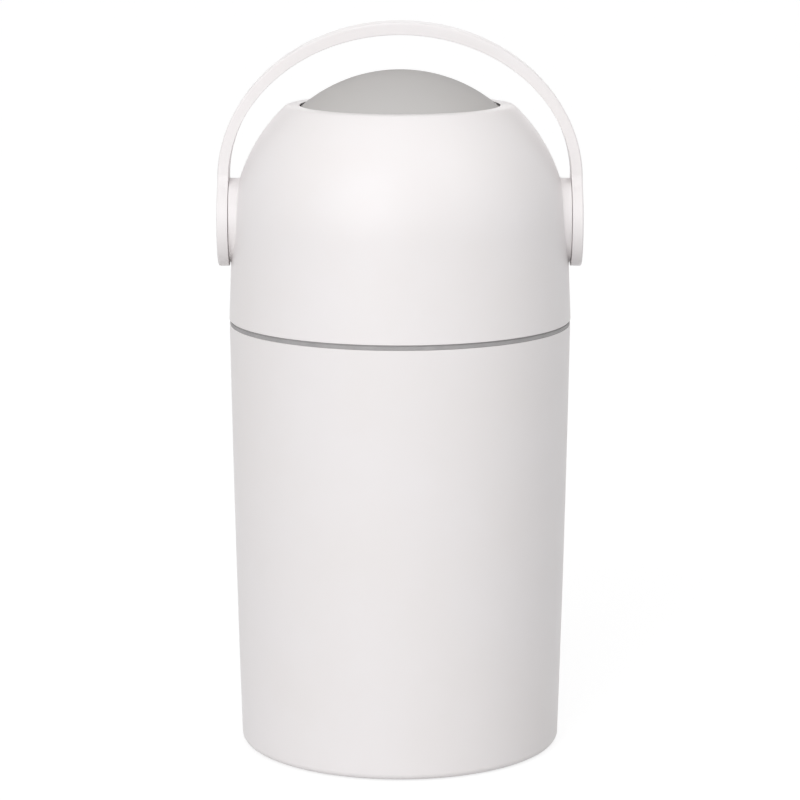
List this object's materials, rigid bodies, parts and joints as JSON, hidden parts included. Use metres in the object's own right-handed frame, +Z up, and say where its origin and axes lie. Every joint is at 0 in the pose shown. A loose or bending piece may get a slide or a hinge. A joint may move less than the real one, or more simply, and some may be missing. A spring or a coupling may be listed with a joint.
{
  "type": "nappy bin",
  "caption": "Tall round nappy bin with a domed twist-off lid, an arched carrying handle and a turning ball whose pocket drops each nappy inside.",
  "frame": {"origin": "on the floor under the middle of the bin, at the level of the rubber feet", "axes": "+Z up, front along -Y, the ball and handle turn about an axis along X"},
  "size_m": [0.288, 0.2724, 0.581],
  "materials": {
    "white_shell": "fine satin, warm white",
    "inner_shell": "matt, pale grey",
    "grey_ball": "satin, light grey",
    "grey_seal": "matt, mid grey",
    "dark_rubber": "matt, near black",
    "bush_plastic": "waxy, off-white",
    "screw_steel": "zinc plated"
  },
  "bodies": {
    "bin": {"bin_body": "white_shell", "foot_1": "dark_rubber", "foot_2": "dark_rubber", "foot_3": "dark_rubber", "foot_4": "dark_rubber"},
    "bag_ring": {"bag_ring": "inner_shell"},
    "lid_seal": {"lid_seal": "grey_seal"},
    "lid": {"lid_housing": "white_shell", "lid_cradle": "inner_shell", "top_wiper": "dark_rubber", "drop_wiper": "dark_rubber", "cradle_screw_1": "screw_steel", "cradle_screw_2": "screw_steel", "cradle_screw_3": "screw_steel", "cradle_screw_4": "screw_steel", "cradle_screw_5": "screw_steel", "cradle_screw_6": "screw_steel", "axle_bush_left": "bush_plastic", "axle_bush_right": "bush_plastic"},
    "ball": {"handle": "white_shell", "handle_cap_left": "white_shell", "handle_cap_right": "white_shell", "handle_screw_left": "screw_steel", "handle_screw_right": "screw_steel", "axle_left": "bush_plastic", "axle_right": "bush_plastic", "ball_front_shell": "grey_ball", "ball_mouth_shell": "grey_ball", "ball_cup": "grey_ball", "ball_screw_1": "screw_steel", "ball_screw_2": "screw_steel", "ball_screw_3": "screw_steel", "ball_screw_4": "screw_steel"}
  },
  "joints": [
    {"name": "bag_ring_lift", "type": "slide", "parent": "bin", "child": "bag_ring", "axis": [0, 0, 1], "range_m": [0, 0.06]},
    {"name": "lid_lift", "type": "slide", "parent": "bag_ring", "child": "lid_seal", "axis": [0, 0, 1], "range_m": [0, 0.1]},
    {"name": "lid_twist", "type": "hinge", "parent": "lid_seal", "child": "lid", "pos_m": [0, 0, 0.346], "axis": [0, 0, -1], "range_deg": [0, 20]},
    {"name": "ball_turn", "type": "hinge", "parent": "lid", "child": "ball", "pos_m": [0, 0, 0.423], "axis": [1, 0, 0], "range_deg": [-90, 90]}
  ]
}
